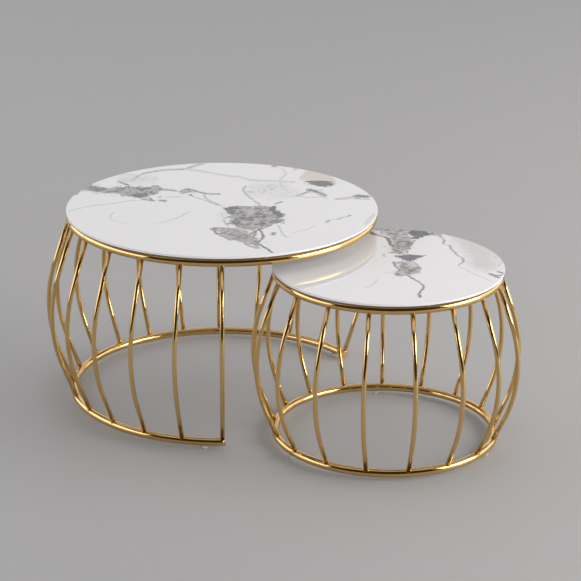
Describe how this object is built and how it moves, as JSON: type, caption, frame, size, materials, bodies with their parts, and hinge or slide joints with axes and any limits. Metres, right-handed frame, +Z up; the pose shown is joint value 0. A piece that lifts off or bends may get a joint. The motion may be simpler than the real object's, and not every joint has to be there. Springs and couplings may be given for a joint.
{
  "type": "nesting tables",
  "caption": "Round nesting tables with stone tops on barrel-shaped cages of bent gold rods; the small table slides under the large one through the open side of its cage.",
  "frame": {"origin": "on the floor, under the middle of the box round both tables as they stand, the small one partly under the large one", "axes": "+Z up; +X from the middle of the large table out through the middle of the open side of its cage"},
  "size_m": [1.1338, 0.7998, 0.442],
  "materials": {
    "stone_top": "polished white stone with grey veins",
    "gold_steel": "mirror-polished gold-coloured steel",
    "silicone_pad": "clear silicone, slightly cloudy",
    "clear_glide": "translucent white plastic, worn satin"
  },
  "bodies": {
    "large_table": {"large_top": "stone_top", "large_top_ring": "gold_steel", "large_bottom_ring": "gold_steel", "large_ring_cap_left": "gold_steel", "large_ring_cap_right": "gold_steel", "large_rod_01": "gold_steel", "large_rod_02": "gold_steel", "large_rod_03": "gold_steel", "large_rod_04": "gold_steel", "large_rod_05": "gold_steel", "large_rod_06": "gold_steel", "large_rod_07": "gold_steel", "large_rod_08": "gold_steel", "large_rod_09": "gold_steel", "large_rod_10": "gold_steel", "large_rod_11": "gold_steel", "large_rod_12": "gold_steel", "large_rod_13": "gold_steel", "large_rod_14": "gold_steel", "large_rod_15": "gold_steel", "large_rod_16": "gold_steel", "large_rod_17": "gold_steel", "large_pad_1": "silicone_pad", "large_pad_2": "silicone_pad", "large_pad_3": "silicone_pad", "large_pad_4": "silicone_pad", "large_glide_1": "clear_glide", "large_glide_2": "clear_glide", "large_glide_3": "clear_glide"},
    "small_table": {"small_top": "stone_top", "small_top_ring": "gold_steel", "small_bottom_ring": "gold_steel", "small_rod_01": "gold_steel", "small_rod_02": "gold_steel", "small_rod_03": "gold_steel", "small_rod_04": "gold_steel", "small_rod_05": "gold_steel", "small_rod_06": "gold_steel", "small_rod_07": "gold_steel", "small_rod_08": "gold_steel", "small_rod_09": "gold_steel", "small_rod_10": "gold_steel", "small_rod_11": "gold_steel", "small_rod_12": "gold_steel", "small_rod_13": "gold_steel", "small_rod_14": "gold_steel", "small_rod_15": "gold_steel", "small_rod_16": "gold_steel", "small_rod_17": "gold_steel", "small_pad_1": "silicone_pad", "small_pad_2": "silicone_pad", "small_pad_3": "silicone_pad", "small_pad_4": "silicone_pad", "small_glide_1": "clear_glide", "small_glide_2": "clear_glide", "small_glide_3": "clear_glide"}
  },
  "joints": [
    {"name": "nest_slide", "type": "slide", "parent": "large_table", "child": "small_table", "axis": [-0.9903, 0.1392, 0], "range_m": [-0.26, 0.447]}
  ]
}
